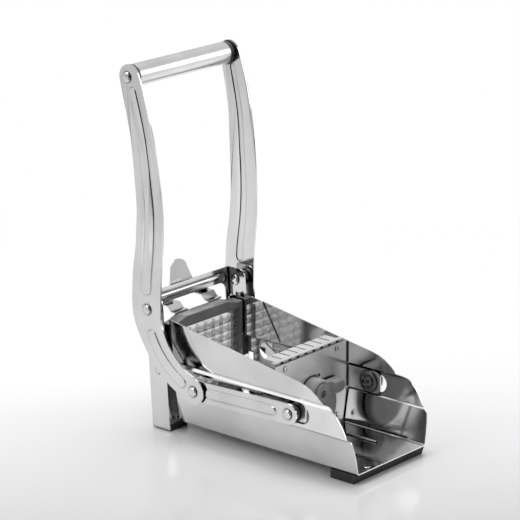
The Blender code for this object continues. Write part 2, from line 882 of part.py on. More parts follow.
def build_pivot_rivets():
    outer_face = arm_half_width + clearance
    inner_face = frame_inner - clearance
    profile = domed_head(outer_face) + [
        (rivet_shank_radius, outer_face),
        (rivet_shank_radius, inner_face),
        (rivet_head_radius, inner_face),
        (rivet_head_radius, inner_face - rivet_head_height / 2),
        (rivet_head_radius * 0.6, inner_face - rivet_head_height),
        (0, inner_face - rivet_head_height),
    ]
    rivet = turned("pivot rivet", profile, "Y", (pivot_x, pivot_height))
    return both_sides("pivot_rivet", rivet)


def ring(name, outer_radius, inner_radius, centre, low, high, sides=16):
    """Plain washer or tube along Y."""
    profile = [(outer_radius, high), (outer_radius, low), (inner_radius, low), (inner_radius, high)]
    return turned(name, profile, "Y", centre, sides)


def build_pivot_spacers():
    spacer = ring(
        "spacer",
        spacer_radius,
        bore_radius,
        (pivot_x, pivot_height),
        frame_half_width + clearance,
        arm_inner - clearance,
    )
    return both_sides("pivot_spacer", spacer)


def arm_spine():
    """Spine and widths of a handle arm, from the grip down to the crank end."""
    stations = [
        (pivot_x - grip_setback * back, pivot_height + grip_rise * up) for back, up in upper_arm_shares
    ]
    stations += [
        (pivot_x + crank_forward * ahead, pivot_height - crank_drop * down) for ahead, down in lower_arm_shares
    ]
    spine = smooth_points(stations)
    main = [arm_top_width + (arm_pivot_width - arm_top_width) * share for share in upper_width_shares]
    tip_width = 2 * arm_tip_radius
    tail = [tip_width + (arm_pivot_width - tip_width) * share for share in lower_width_shares]
    widths = [width for _, width in smooth_points([(0, width) for width in main + tail])]
    return spine, widths


def splay_arm(piece):
    """Bend the upper arm outward so that it clears the wider grip."""
    start = pivot_height + arm_splay_start
    end = grip_height - grip_radius
    for vertex in piece.data.vertices:
        share = min(max((vertex.co.z - start) / (end - start), 0), 1)
        side = 1 if vertex.co.y > 0 else -1
        vertex.co.y += side * arm_splay * share * share * (3 - 2 * share)
    return piece


def add_rib(plate, outer_face, inner_face, outline, groove, height):
    """Press a bead into a flat plate: a rib with sloping walls outside and a groove behind it."""
    crest = outer_face - height
    rib = flat_plate("rib", outline, SIDE_VIEW, crest, outer_face + clearance)
    join(plate, taper_face(rib, crest, outline, height))
    cut(plate, flat_plate("groove", groove, SIDE_VIEW, inner_face - height, inner_face + overrun))


def spine_part(spine, shares):
    """The stretch of a spine between two shares of its points."""
    last = len(spine) - 1
    return spine[round(last * shares[0]):round(last * shares[1]) + 1]


def add_arm_rib(arm, spine, widths):
    grooves = [width * arm_groove_share for width in widths]
    outline = round_strip(spine, widths, 5)
    add_rib(arm, -arm_half_width, -arm_inner, outline, round_strip(spine, grooves, 4), arm_rib_height)


def build_arm():
    """Left arm, as a flat pressing with two raised ribs; the other one mirrors it."""
    spine, widths = arm_spine()
    outline = round_strip(spine, widths, 10)
    arm = flat_plate("arm", outline, SIDE_VIEW, -arm_half_width, -arm_inner)
    upper = spine_part(spine, upper_rib_shares)
    growth = [1 + arm_rib_growth_share * i / (len(upper) - 1) for i in range(len(upper))]
    add_arm_rib(arm, upper, [arm_rib_width * share for share in growth])
    lower = spine_part(spine, lower_rib_shares)
    add_arm_rib(arm, lower, [lower_rib_width] * len(lower))
    for centre in ((grip_x, grip_height), (pivot_x, pivot_height), (crank_x, crank_height)):
        low, high = -arm_half_width - overrun, -arm_inner + overrun
        cut(arm, cylinder("bore", bore_radius, "Y", centre, low, high, 18))
    return arm


def taper_face(piece, face_y, outline, inset):
    """Draw the outer face of a raised rib inward, so that its walls slope."""
    count = len(outline)
    turn = outline_turn(outline)
    for vertex in piece.data.vertices:
        if abs(vertex.co.y - face_y) > clearance / 3:
            continue
        nearest = min(range(count), key=lambda i: math.dist(outline[i], (vertex.co.x, vertex.co.z)))
        behind, ahead = outline[nearest - 1], outline[(nearest + 1) % count]
        run, rise = ahead[0] - behind[0], ahead[1] - behind[1]
        length = math.hypot(run, rise)
        vertex.co.x += rise / length * inset * turn
        vertex.co.z -= run / length * inset * turn
    return piece


def outline_turn(outline):
    """-1 for a counter-clockwise outline, +1 for a clockwise one."""
    area = 0
    for i, point in enumerate(outline):
        following = outline[(i + 1) % len(outline)]
        area += point[0] * following[1] - following[0] * point[1]
    return -1 if area > 0 else 1


def build_arms():
    left = build_arm()
    right = mirrored(left, "right_arm")
    left.name = "left_arm"
    return [shade_round(splay_arm(left), 30), shade_round(splay_arm(right), 30)]


def grip_end():
    """Place of the grip tube's end, inside the cap's flange."""
    return arm_inner + arm_splay - clearance - grip_cap_thickness - clearance


def build_grip():
    inner_radius = grip_radius - grip_wall
    tube = ring("grip_tube", grip_radius, inner_radius, (grip_x, grip_height), -grip_end(), grip_end(), 28)
    caps = []
    spigot_radius = inner_radius - clearance
    for side in SIDES:
        flange_outer = arm_inner + arm_splay - clearance
        flange_inner = flange_outer - grip_cap_thickness
        profile = [
            (grip_radius, flange_outer),
            (grip_radius, flange_inner),
            (spigot_radius, flange_inner),
            (spigot_radius, flange_inner - grip_cap_spigot),
            (grip_rod_radius + clearance, flange_inner - grip_cap_spigot),
            (grip_rod_radius + clearance, flange_outer),
        ]
        if side < 0:
            profile = [(radius, -along) for radius, along in reversed(profile)]
        caps.append(turned(SIDE_NAMES[side] + "_grip_cap", profile, "Y", (grip_x, grip_height), 28))
    face = arm_half_width + arm_splay + clearance
    half = domed_head(face) + [(rivet_shank_radius, face)]
    profile = half + [(radius, -along) for radius, along in reversed(half)]
    rod = turned("grip_rod", profile, "Y", (grip_x, grip_height))
    return [tube, rod] + caps


def build_link():
    """Left link: a flat strip with a raised bead, from the crank pin to the carriage pin."""
    radius = link_width / 2
    start = (crank_x, crank_height)
    end = (carriage_pin_x, slot_centre_height)
    link = flat_plate("link", capsule(start, end, radius, 12), SIDE_VIEW, -link_outer, -link_inner)
    run, rise = end[0] - start[0], end[1] - start[1]
    length = math.hypot(run, rise)
    along = (run / length, rise / length)
    bead_start = (start[0] + along[0] * link_bead_inset, start[1] + along[1] * link_bead_inset)
    bead_end = (end[0] - along[0] * link_bead_end, end[1] - along[1] * link_bead_end)
    outline = capsule(bead_start, bead_end, link_bead_width / 2, 6)
    groove = capsule(bead_start, bead_end, link_groove_width / 2, 6)
    add_rib(link, -link_outer, -link_inner, outline, groove, link_bead_height)
    for centre in (start, end):
        low, high = -link_outer - overrun, -link_inner + overrun
        cut(link, cylinder("bore", bore_radius, "Y", centre, low, high, 18))
    return link


def build_links():
    left = build_link()
    right = mirrored(left, "right_link")
    left.name = "left_link"
    return [shade_round(left, 30), shade_round(right, 30)]


def build_link_studs():
    """Riveted studs at the front ends of the links."""
    face = link_outer + clearance
    profile = domed_head(face) + [(rivet_shank_radius, face), (rivet_shank_radius, link_inner), (0, link_inner)]
    return both_sides("link_stud", turned("stud", profile, "Y", (carriage_pin_x, slot_centre_height)))


def build_crank_rivets():
    """Rivets that join the arms' lower ends to the links."""
    face = arm_half_width + clearance
    inner = link_inner - clearance
    profile = domed_head(face) + [
        (rivet_shank_radius, face),
        (rivet_shank_radius, inner),
        (rivet_head_radius, inner),
        (rivet_head_radius, inner - rivet_head_height * 0.8),
        (0, inner - rivet_head_height * 0.8),
    ]
    rivet = turned("crank rivet", profile, "Y", (crank_x, crank_height))
    return both_sides("crank_rivet", rivet)


def build_crank_washers():
    washer = ring(
        "washer",
        washer_radius,
        bore_radius,
        (crank_x, crank_height),
        link_outer + clearance,
        arm_inner - clearance,
    )
    return both_sides("crank_washer", washer)


def build_slide_bushes():
    """Plastic bushes that run in the slots of the trough."""
    bush = ring(
        "bush",
        bush_radius,
        bore_radius,
        (carriage_pin_x, slot_centre_height),
        carriage_wing_outer + clearance,
        link_inner - bush_end_gap,
    )
    return both_sides("slide_bush", bush)


def build_carriage_plate():
    """Front plate of the carriage with a wing folded forward on each side."""
    back = carriage_x - frame_gauge
    taper_top = carriage_bottom + carriage_taper_height
    wing_low = slot_centre_height - carriage_wing_height / 2
    wing_high = slot_centre_height + carriage_wing_height / 2
    tab_reach = carriage_wing_outer - frame_gauge / 2
    half = [
        (carriage_bottom_half_width, carriage_bottom),
        (carriage_half_width, taper_top),
        (carriage_half_width, wing_low + clearance),
        (tab_reach, wing_low + clearance * 2),
        (tab_reach, wing_high - clearance * 2),
        (carriage_half_width, wing_high - clearance),
        (carriage_half_width, carriage_top),
    ]
    outline = half + [(-y, z) for y, z in reversed(half)]
    plate = flat_plate("carriage_plate", outline, FRONT_VIEW, back, carriage_x)
    wing_front = back + carriage_wing_length
    wing_outline = [(back + clearance, wing_low)]
    wing_outline += arc((wing_front - carriage_wing_radius, wing_low + carriage_wing_radius), carriage_wing_radius, -90, 0, 5)
    wing_outline += arc((wing_front - carriage_wing_radius, wing_high - carriage_wing_radius), carriage_wing_radius, 0, 90, 5)
    wing_outline.append((back + clearance, wing_high))
    for side in SIDES:
        low, high = sorted((side * carriage_wing_outer, side * (carriage_wing_outer - frame_gauge)))
        join(plate, flat_plate("wing", wing_outline, SIDE_VIEW, low, high))
    outer = carriage_wing_outer + overrun
    pin = (carriage_pin_x, slot_centre_height)
    cut(plate, cylinder("bore", bore_radius, "Y", pin, -outer, outer, 18))
    hole = knob_screw_radius + clearance
    low, high = back - overrun, carriage_x + overrun
    cut(plate, cylinder("screw hole", hole, "X", (0, knob_centre_height), low, high))
    for place in block_peg_places().values():
        cut(plate, cylinder("peg hole", small_rivet_radius + clearance, "X", place, low, high, 16))
    cut(plate, *arc_slot_cutters(low, high))
    return plate


def arc_slot_cutters(low, high):
    """Thin arc slot above the knob, with a small square end."""
    centre = (arc_slot_offset, knob_centre_height - arc_slot_drop)
    half = arc_slot_width / 2
    turns = (arc_slot_start_turn, arc_slot_end_turn)
    outline = arc(centre, arc_slot_radius + half, *turns, 8)
    outline += reversed(arc(centre, arc_slot_radius - half, *turns, 8))
    slot = flat_plate("arc slot", outline, FRONT_VIEW, low, high)
    y, z = arc(centre, arc_slot_radius, *turns, 1)[0]
    end = arc_slot_end_size / 2
    square = block("arc slot end", (low, y - end, z - end), (high, y + end, z + end))
    return slot, square


def block_peg_places():
    spread = carriage_half_width - peg_side_inset
    high = carriage_top - peg_drop
    low = carriage_bottom + low_peg_rise
    return {
        "left_block_peg": (-spread, high),
        "right_block_peg": (spread, high),
        "left_low_peg": (-spread, low),
        "right_low_peg": (spread, low),
    }


def build_block_pegs():
    """Riveted pegs on the carriage plate that locate the pusher block."""
    pegs = []
    face = carriage_x + clearance
    back = carriage_x - frame_gauge
    for name, place in block_peg_places().items():
        profile = [
            (0, back - block_thickness / 2),
            (small_rivet_radius, back - block_thickness / 2),
            (small_rivet_radius, face),
            (small_rivet_head_radius * 0.8, face),
            (small_rivet_head_radius * 0.6, face + small_rivet_head_height * 0.7),
            (0, face + small_rivet_head_height),
        ]
        pegs.append(turned(name, profile, "X", place, 12))
    return pegs


def build_carriage_rivets():
    """Eyelet rivets that hold the slide bushes to the carriage wings."""
    inner_face = carriage_wing_outer - frame_gauge - clearance
    outer = link_inner - bush_end_gap
    profile = [
        (0, outer),
        (rivet_shank_radius, outer),
        (rivet_shank_radius, inner_face),
        (eyelet_radius, inner_face),
        (eyelet_radius, inner_face - eyelet_thickness),
        (rivet_head_radius * 1.4, inner_face - eyelet_thickness),
        (rivet_head_radius * 1.2, inner_face - eyelet_thickness * 0.5),
        (rivet_head_radius, inner_face - eyelet_thickness * 0.5),
        (rivet_head_radius, inner_face - eyelet_thickness * 1.6),
        (rivet_head_radius * 0.6, inner_face - eyelet_thickness * 2),
        (0, inner_face - eyelet_thickness * 2),
    ]
    rivet = turned("carriage rivet", profile, "Y", (carriage_pin_x, slot_centre_height))
    return both_sides("carriage_rivet", rivet)


def grid_column_centres():
    return [-grid_half_width + cell_width * (i + 0.5) for i in range(columns)]


def grid_row_centres():
    return [grid_bottom + cell_height * (i + 0.5) for i in range(rows)]


def build_pusher_block():
    """Block with one pointed stud for each cell of the cutting grid."""
    front = carriage_x - frame_gauge - clearance
    back = front - block_thickness
    pusher = block("pusher_block", (back, -block_half_width, block_bottom), (front, block_half_width, block_top))
    round_edges(pusher, clearance * 2, 1)
    gap = blade_thickness + 2 * stud_clearance
    half_width, half_height = (cell_width - gap) / 2, (cell_height - gap) / 2
    shape = bmesh.new()
    tip = back - stud_length
    for y in grid_column_centres():
        for z in grid_row_centres():
            made = bmesh.ops.create_cube(shape, size=1)
            depth = stud_length + block_thickness / 2
            middle = (tip + back + block_thickness / 2) / 2
            place = Matrix.Translation((middle, y, z)) @ Matrix.Diagonal((depth, 2 * half_width, 2 * half_height, 1))
            bmesh.ops.transform(shape, matrix=place, verts=made["verts"])
            end_face = next(
                face
                for vertex in made["verts"]
                for face in vertex.link_faces
                if face.calc_center_median().x < middle - depth / 3
            )
            inset = bmesh.ops.extrude_discrete_faces(shape, faces=[end_face])
            cap = inset["faces"][0]
            bmesh.ops.translate(shape, verts=cap.verts, vec=(-stud_point, 0, 0))
            centre = cap.calc_center_median()
            shrink = Matrix.Translation(centre) @ Matrix.Scale(stud_tip_share, 4) @ Matrix.Translation(-centre)
            bmesh.ops.transform(shape, matrix=shrink, verts=cap.verts)
    studs = bmesh_object("studs", shape)
    join(pusher, studs)
    window_top = block_top - (block_top - carriage_top) / 5
    for y in grid_column_centres():
        window = block(
            "window",
            (front - block_window_depth, y - block_window_width / 2, window_top - block_window_height),
            (front + overrun, y + block_window_width / 2, window_top),
        )
        cut(pusher, window)
    for place in block_peg_places().values():
        hole = small_rivet_radius + clearance
        depth = front - block_thickness * 2 / 3
        cut(pusher, cylinder("peg hole", hole, "X", place, depth, front + overrun, 16))
    screw_hole = knob_screw_radius + clearance
    depth = front - block_thickness * 4 / 5
    cut(pusher, cylinder("screw hole", screw_hole, "X", (0, knob_centre_height), depth, front + overrun, 20))
    return pusher


def build_knob():
    """Turn knob that holds the pusher block: a ringed hub, two wings and a broad paddle."""
    base = carriage_x + clearance
    top = base + knob_hub_height
    ring_low = top - knob_ring_rise
    profile = [
        (0, base),
        (knob_hub_radius, base),
        (knob_hub_radius, ring_low - knob_ring_rise),
        (knob_hub_radius - knob_ring_rise, ring_low),
        (knob_ring_radius, ring_low),
        (knob_ring_radius, top - knob_ring_rise * 0.3),
        (knob_ring_radius - knob_ring_rise * 0.6, top),
        (0, top),
    ]
    knob = turned("knob", profile, "X", (0, knob_centre_height), 24)
    half = knob_wing_width / 2
    wing_outline = rounded_rectangle(
        (-knob_wing_reach, knob_centre_height - half), (knob_wing_reach, knob_centre_height + half), knob_wing_radius
    )
    wings = flat_plate("wings", wing_outline, FRONT_VIEW, base + clearance, base + knob_wing_height)
    round_edges(wings, knob_ring_rise, 1)
    valley_place = (base + knob_wing_height + knob_valley_rise, 0)
    low, high = knob_centre_height - knob_wing_width, knob_centre_height + knob_wing_width
    cut(wings, cylinder("valley", knob_valley_radius, "Z", valley_place, low, high, 40))
    paddle_centre = knob_centre_height - knob_paddle_drop
    paddle_outline = arc((0, paddle_centre), knob_paddle_radius, 150, 390, 18)
    paddle = flat_plate("paddle", paddle_outline, FRONT_VIEW, base + clearance * 2, base + knob_paddle_height)
    round_edges(paddle, knob_ring_rise, 1)
    join(knob, wings, paddle)
    hole = knob_screw_radius + clearance
    cut(knob, cylinder("screw hole", hole, "X", (0, knob_centre_height), base - overrun, top + overrun, 16))
    head = knob_screw_head_radius + clearance
    sink = top - knob_screw_head_height
    cut(knob, cylinder("screw sink", head, "X", (0, knob_centre_height), sink, top + overrun))
    return shade_round(knob, 35)


def build_knob_screw():
    base = carriage_x + clearance
    top = base + knob_hub_height
    head_low = top - knob_screw_head_height + clearance
    tip = carriage_x - frame_gauge - block_thickness * 2 / 3
    profile = [
        (0, tip),
        (knob_screw_radius, tip),
        (knob_screw_radius, head_low),
        (knob_screw_head_radius, head_low),
        (knob_screw_head_radius, top - clearance),
        (knob_screw_head_radius * 0.7, top),
        (0, top),
    ]
    return turned("knob_screw", profile, "X", (0, knob_centre_height))


def build_cutter_frame():
    """Moulded frame of the cutting grid, with a raised hump that the latch holds down."""
    front = cutter_front
    half = cutter_half_width
    hump_top = cutter_top + cutter_hump_height
    foot = cutter_hump_half_width + cutter_hump_shoulder
    outline = [(-half, cutter_bottom), (half, cutter_bottom), (half, cutter_top), (foot, cutter_top)]
    steps = 8
    shoulder = []
    for i in range(1, steps + 1):
        rise_share = (1 - math.cos(math.pi * i / steps)) / 2
        shoulder.append((foot - cutter_hump_shoulder * i / steps, cutter_top + cutter_hump_height * rise_share))
    outline += shoulder + [(-y, z) for y, z in reversed(shoulder)]
    outline += [(-foot, cutter_top), (-half, cutter_top)]
    frame = flat_plate("cutter_frame", outline, FRONT_VIEW, cutter_x, front)
    round_edges(frame, clearance * 3, 2)
    window = block(
        "window",
        (cutter_x - overrun, -grid_half_width, grid_bottom),
        (front + overrun, grid_half_width, grid_top),
    )
    cut(frame, window)
    mouth = block(
        "mouth",
        (front - cutter_mouth_depth, -grid_half_width, grid_bottom),
        (front + clearance, grid_half_width, grid_top),
    )
    for vertex in mouth.data.vertices:
        if vertex.co.x > front:
            vertex.co.y += cutter_mouth_flare if vertex.co.y > 0 else -cutter_mouth_flare
            vertex.co.z += cutter_mouth_flare if vertex.co.z > (grid_bottom + grid_top) / 2 else -cutter_mouth_flare
    cut(frame, mouth)
    return frame


def notched_strip(length, depth, centres, notch_from):
    """Outline of a blade, half notched where it crosses the others."""
    half_notch = blade_thickness / 2 + clearance / 2
    notch_depth = depth / 2 + clearance / 2
    teeth = []
    for centre in centres:
        teeth += [(centre - half_notch, 0), (centre - half_notch, 1), (centre + half_notch, 1), (centre + half_notch, 0)]
    if notch_from == "back":
        lower = [(0, 0)] + [(a, notch_depth * b) for a, b in teeth] + [(length, 0)]
        outline = lower + [(length, depth), (0, depth)]
    else:
        upper = [(0, depth)] + [(a, depth - notch_depth * b) for a, b in teeth] + [(length, depth)]
        outline = [(0, 0), (length, 0)] + list(reversed(upper))
    return outline


def build_blades():
    """Interlocking blades of the cutting grid, half notched where they cross."""
    back = cutter_x + grid_setback
    depth = cutter_front - blade_front_inset - back
    half_gauge = blade_thickness / 2
    height = grid_top - grid_bottom - 2 * clearance
    width = 2 * grid_half_width - 2 * clearance
    row_lines = [cell_height * i - clearance for i in range(1, rows)]
    column_lines = [cell_width * i - clearance for i in range(1, columns)]
    blades = []
    for i in range(1, columns):
        y = -grid_half_width + cell_width * i
        outline = [
            (back + d, grid_bottom + clearance + a)
            for a, d in notched_strip(height, depth, row_lines, "back")
        ]
        blades.append(flat_plate(f"upright_blade_{i}", outline, SIDE_VIEW, y - half_gauge, y + half_gauge))
    for i in range(1, rows):
        z = grid_bottom + cell_height * i
        outline = [
            (back + d, -grid_half_width + clearance + a)
            for a, d in notched_strip(width, depth, column_lines, "front")
        ]
        blades.append(flat_plate(f"level_blade_{i}", outline, TOP_VIEW, z - half_gauge, z + half_gauge))
    return blades


def build_latch():
    """Leaf latch: a thumb tongue above the crossbar and two feet over the cutter frame."""
    barrel_radius = latch_pin_radius + clearance + latch_barrel_wall
    leaf_back = latch_pin_x - barrel_radius + clearance
    shoulder = latch_pin_height + barrel_radius / 2
    arch_top = latch_pin_height - barrel_radius * 0.8
    tongue_top = latch_pin_height + tongue_rise
    neck = shoulder + (tongue_top - shoulder) * tongue_neck_share
    round_height = tongue_top - neck
    right = [
        (latch_arch_half_width, arch_top),
        (latch_foot_inner, latch_leg_bottom),
        (latch_half_width, latch_leg_bottom + clearance),
        (latch_half_width, shoulder - clearance),
        (tongue_root_half_width, shoulder),
        (tongue_tip_half_width, neck),
    ]
    tip = [
        (
            tongue_tip_half_width * math.cos(math.radians(turn)),
            neck + round_height * math.sin(math.radians(turn)),
        )
        for turn in range(15, 180, 15)
    ]
    outline = right + tip + [(-y, z) for y, z in reversed(right)]
    leaf = flat_plate("latch_leaf", outline, FRONT_VIEW, leaf_back, leaf_back + latch_gauge)
    for vertex in leaf.data.vertices:
        share = max(vertex.co.z - shoulder, 0) / (tongue_top - shoulder)
        vertex.co.x -= tongue_lean * share
    barrel = cylinder(
        "barrel",
        barrel_radius,
        "Y",
        (latch_pin_x, latch_pin_height),
        -latch_half_width + clearance,
        latch_half_width - clearance,
        16,
    )
    join(leaf, barrel)
    foot_low = cutter_top + cutter_hump_height + clearance
    foot_front = leaf_back + latch_foot_reach
    leg_low = latch_leg_bottom + clearance
    bend = leaf_back + latch_foot_reach * latch_bend_share
    foot_profile = [
        (leaf_back + clearance, leg_low),
        (bend, leg_low),
        (foot_front - latch_toe_length, foot_low),
        (foot_front, foot_low),
        (foot_front, foot_low + latch_gauge),
        (foot_front - latch_toe_length, foot_low + latch_gauge),
        (bend, leg_low + latch_gauge),
        (leaf_back + clearance, leg_low + latch_gauge),
    ]
    for side in SIDES:
        low, high = sorted((side * latch_foot_inner + side * clearance, side * latch_foot_outer))
        join(leaf, flat_plate("foot", foot_profile, SIDE_VIEW, low, high))
    bore = latch_pin_radius + clearance
    reach = latch_half_width + overrun
    cut(leaf, cylinder("bore", bore, "Y", (latch_pin_x, latch_pin_height), -reach, reach, 16))
    return shade_round(leaf, 30)


def build_latch_pin():
    reach = latch_half_width + latch_lug_width + clearance * 3
    head = latch_pin_radius + clearance * 3
    half = [(0, reach + latch_gauge), (head, reach + latch_gauge), (head, reach), (latch_pin_radius, reach)]
    profile = half + [(radius, -along) for radius, along in reversed(half)]
    return turned("latch_pin", profile, "Y", (latch_pin_x, latch_pin_height), 12)


def pivot_empty(name, place, group):
    empty = bpy.data.objects.new(name, None)
    empty.location = place
    empty.empty_display_size = rivet_head_radius
    group.objects.link(empty)
    return empty


def finish(pieces, look, group, pivot=None):
    """Give pieces their material, place them in the collection and hang them on their pivot."""
    for piece in pieces:
        piece.data.materials.clear()
        piece.data.materials.append(make_material(piece.name + "_material", look))
        piece.data.name = piece.name
        for owner in list(piece.users_collection):
            owner.objects.unlink(piece)
        group.objects.link(piece)
        if pivot is not None:
            piece.parent = pivot
            piece.matrix_parent_inverse = Matrix.Translation(pivot.location).inverted()


def main():
    clear_scene()
    group = make_collection("potato_slicer")
    handle_pivot = pivot_empty("handle_pivot", (pivot_x, 0, pivot_height), group)
    link_pivot = pivot_empty("link_pivot", (crank_x, 0, crank_height), group)
    carriage_slide = pivot_empty("carriage_slide", (carriage_pin_x, 0, slot_centre_height), group)
    knob_pivot = pivot_empty("knob_pivot", (carriage_x, 0, knob_centre_height), group)
    latch_pivot = pivot_empty("latch_pivot", (latch_pin_x, 0, latch_pin_height), group)

    finish([build_trough(), build_rear_frame()], steel_look, group)
    finish([build_foot_rivet()] + build_frame_rivets(), steel_look, group)
    finish(build_pivot_rivets() + build_pivot_spacers() + [build_latch_pin()], steel_look, group)
    finish([build_front_foot()] + build_rear_feet(), rubber_look, group)
    finish([build_cutter_frame()], dark_plastic_look, group)
    finish(build_blades(), steel_look, group)
    finish([build_latch()], satin_look, group, latch_pivot)

    grip_tube, grip_rod, left_cap, right_cap = build_grip()
    finish(build_arms() + [grip_rod], steel_look, group, handle_pivot)
    finish(build_crank_rivets() + build_crank_washers(), steel_look, group, handle_pivot)
    finish([grip_tube], satin_look, group, handle_pivot)
    finish([left_cap, right_cap], dark_plastic_look, group, handle_pivot)
    finish(build_links() + build_link_studs(), steel_look, group, link_pivot)

    finish([build_carriage_plate()] + build_carriage_rivets(), steel_look, group, carriage_slide)
    finish(build_block_pegs(), steel_look, group, carriage_slide)
    finish(build_slide_bushes(), dark_plastic_look, group, carriage_slide)
    finish([build_pusher_block()], grey_plastic_look, group, carriage_slide)
    finish([build_knob()], grey_plastic_look, group, knob_pivot)
    finish([build_knob_screw()], steel_look, group, knob_pivot)


main()
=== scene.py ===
"""Lever potato slicer in polished steel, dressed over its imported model.

+X is the open front, +Z is up, and the left side, as seen from the front, is at -Y.
Lengths in metres.
"""
import json
import math

import bmesh
import bpy
from mathutils import Matrix, Vector


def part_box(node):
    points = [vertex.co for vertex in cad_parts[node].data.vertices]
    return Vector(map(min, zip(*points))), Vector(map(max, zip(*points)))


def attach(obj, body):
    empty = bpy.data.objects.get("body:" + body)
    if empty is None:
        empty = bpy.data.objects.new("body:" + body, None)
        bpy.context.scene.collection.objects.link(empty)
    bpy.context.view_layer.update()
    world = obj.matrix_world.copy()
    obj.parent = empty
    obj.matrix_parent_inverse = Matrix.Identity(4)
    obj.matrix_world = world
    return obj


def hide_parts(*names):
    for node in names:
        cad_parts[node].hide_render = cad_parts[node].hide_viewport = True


# Camera: where it stands, how it is turned, and its lens
camera_place = Vector((1.45795, -1.72882, 0.86064))
camera_azimuth = math.radians(40.58)
camera_elevation = math.radians(17.06)
camera_lens = 184.5

# Sizes of the finishing work
weld_distance = 0.00002
sheet_edge = 0.00025
moulded_edge = 0.0007
rubber_edge = 0.0008
rib_rounding = 0.0008
rim_width = 0.0014
arm_flatness = 3
splayed_nodes = ("left_arm", "right_arm")
ribbed_nodes = ("left_arm", "right_arm", "left_link", "right_link")
round_sides = 48


# Small helpers for modelling

def deselect_all():
    if bpy.context.object and bpy.context.object.mode != "OBJECT":
        bpy.ops.object.mode_set(mode="OBJECT")
    bpy.ops.object.select_all(action="DESELECT")


def pick(piece):
    deselect_all()
    piece.select_set(True)
    bpy.context.view_layer.objects.active = piece
    return piece


def settle(piece):
    """Put a piece's place into its mesh, so that the object sits at the origin."""
    pick(piece)
    bpy.ops.object.transform_apply(location=True, rotation=True, scale=True)
    return piece


def apply_modifiers(piece):
    pick(piece)
    for modifier in list(piece.modifiers):
        bpy.ops.object.modifier_apply(modifier=modifier.name)
    return piece


def smooth(piece, degrees=35):
    pick(piece)
    bpy.ops.object.shade_smooth_by_angle(angle=math.radians(degrees))
    return piece


def select_faces(piece, wanted):
    """Select, in edit mode, the faces whose centre and normal pass a test."""
    shape = bmesh.from_edit_mesh(piece.data)
    bpy.ops.mesh.select_mode(type="FACE")
    for face in shape.faces:
        face.select_set(False)
    for face in shape.faces:
        if wanted(face.calc_center_median(), face.normal):
            face.select_set(True)
    shape.select_flush_mode()
    bmesh.update_edit_mesh(piece.data)


def turned_disc(name, centre, axis, radius, steps):
    """Round plate built up from a disc: each step insets the end face and moves it out."""
    turn = {"X": (0, math.pi / 2, 0), "+Y": (-math.pi / 2, 0, 0), "-Y": (math.pi / 2, 0, 0), "Z": (0, 0, 0)}[axis]
    out = {"X": Vector((1, 0, 0)), "+Y": Vector((0, 1, 0)), "-Y": Vector((0, -1, 0)), "Z": Vector((0, 0, 1))}[axis]
    deselect_all()
    first = steps[0][1]
    bpy.ops.mesh.primitive_cylinder_add(
        vertices=round_sides, radius=radius, depth=first, location=Vector(centre) + out * first / 2, rotation=turn
    )
    piece = bpy.context.object
    piece.name = name
    piece.data.name = name
    settle(piece)
    bpy.ops.object.mode_set(mode="EDIT")
    face_height = (Vector(centre) + out * first).dot(out)
    for inset, rise in steps[1:]:
        select_faces(piece, lambda place, normal: normal.dot(out) > 0.9 and abs(place.dot(out) - face_height) < 1e-5
                     and (place - Vector(centre)).cross(out).length < radius / 100)
        if inset:
            bpy.ops.mesh.inset(thickness=inset)
        if rise:
            bpy.ops.mesh.extrude_region_move(TRANSFORM_OT_translate={"value": out * rise})
            face_height += rise
    bpy.ops.object.mode_set(mode="OBJECT")
    return smooth(piece)


def flatten_shading(piece):
    """Let the large faces of a piece keep their own direction, so that flats mirror as flats."""
    weigh = piece.modifiers.new("Flats", "WEIGHTED_NORMAL")
    weigh.weight = 80
    weigh.keep_sharp = True
    return apply_modifiers(piece)


def round_ribs(piece, width):
    """Round the shoulders and the feet of the pressed ribs on an upright plate."""
    pick(piece)
    bpy.ops.object.mode_set(mode="EDIT")
    bpy.ops.mesh.select_mode(type="EDGE")
    shape = bmesh.from_edit_mesh(piece.data)
    for edge in shape.edges:
        flat_enough = len(edge.link_faces) == 2 and all(abs(face.normal.y) > 0.4 for face in edge.link_faces)
        edge.select_set(flat_enough and edge.calc_face_angle() > math.radians(30))
    bmesh.update_edit_mesh(piece.data)
    bpy.ops.mesh.bevel(offset=width, segments=4, affect="EDGES", clamp_overlap=True)
    bpy.ops.object.mode_set(mode="OBJECT")


def bevel_edges(piece, width, segments=2, degrees=30):
    bevel = piece.modifiers.new("Edges", "BEVEL")
    bevel.width = width
    bevel.segments = segments
    bevel.limit_method = "ANGLE"
    bevel.angle_limit = math.radians(degrees)
    bevel.use_clamp_overlap = True
    return apply_modifiers(piece)


def finished_copy(node, width, segments=2, degrees=30):
    """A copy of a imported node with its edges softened, standing for the node."""
    source = frame["nodes"][node]
    piece = bpy.data.objects.new(node + "_finished", source.data.copy())
    bpy.context.scene.collection.objects.link(piece)
    piece.data.name = node + "_finished"
    pick(piece)
    if piece.data.has_custom_normals:
        bpy.ops.mesh.customdata_custom_splitnormals_clear()
    bpy.ops.object.mode_set(mode="EDIT")
    bpy.ops.mesh.select_all(action="SELECT")
    bpy.ops.mesh.remove_doubles(threshold=weld_distance)
    bpy.ops.mesh.dissolve_limited(angle_limit=math.radians(arm_flatness if node in splayed_nodes else 0.5))
    bpy.ops.object.mode_set(mode="OBJECT")
    if node in ribbed_nodes:
        round_ribs(piece, rib_rounding)
    bevel_edges(piece, width, segments, degrees)
    smooth(piece, 50)
    flatten_shading(piece)
    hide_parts(node)
    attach(piece, body_of[node])
    return piece


# Materials

def new_material(name):
    material = bpy.data.materials.new(name)
    material.use_nodes = True
    tree = material.node_tree
    return material, tree, tree.nodes["Principled BSDF"]


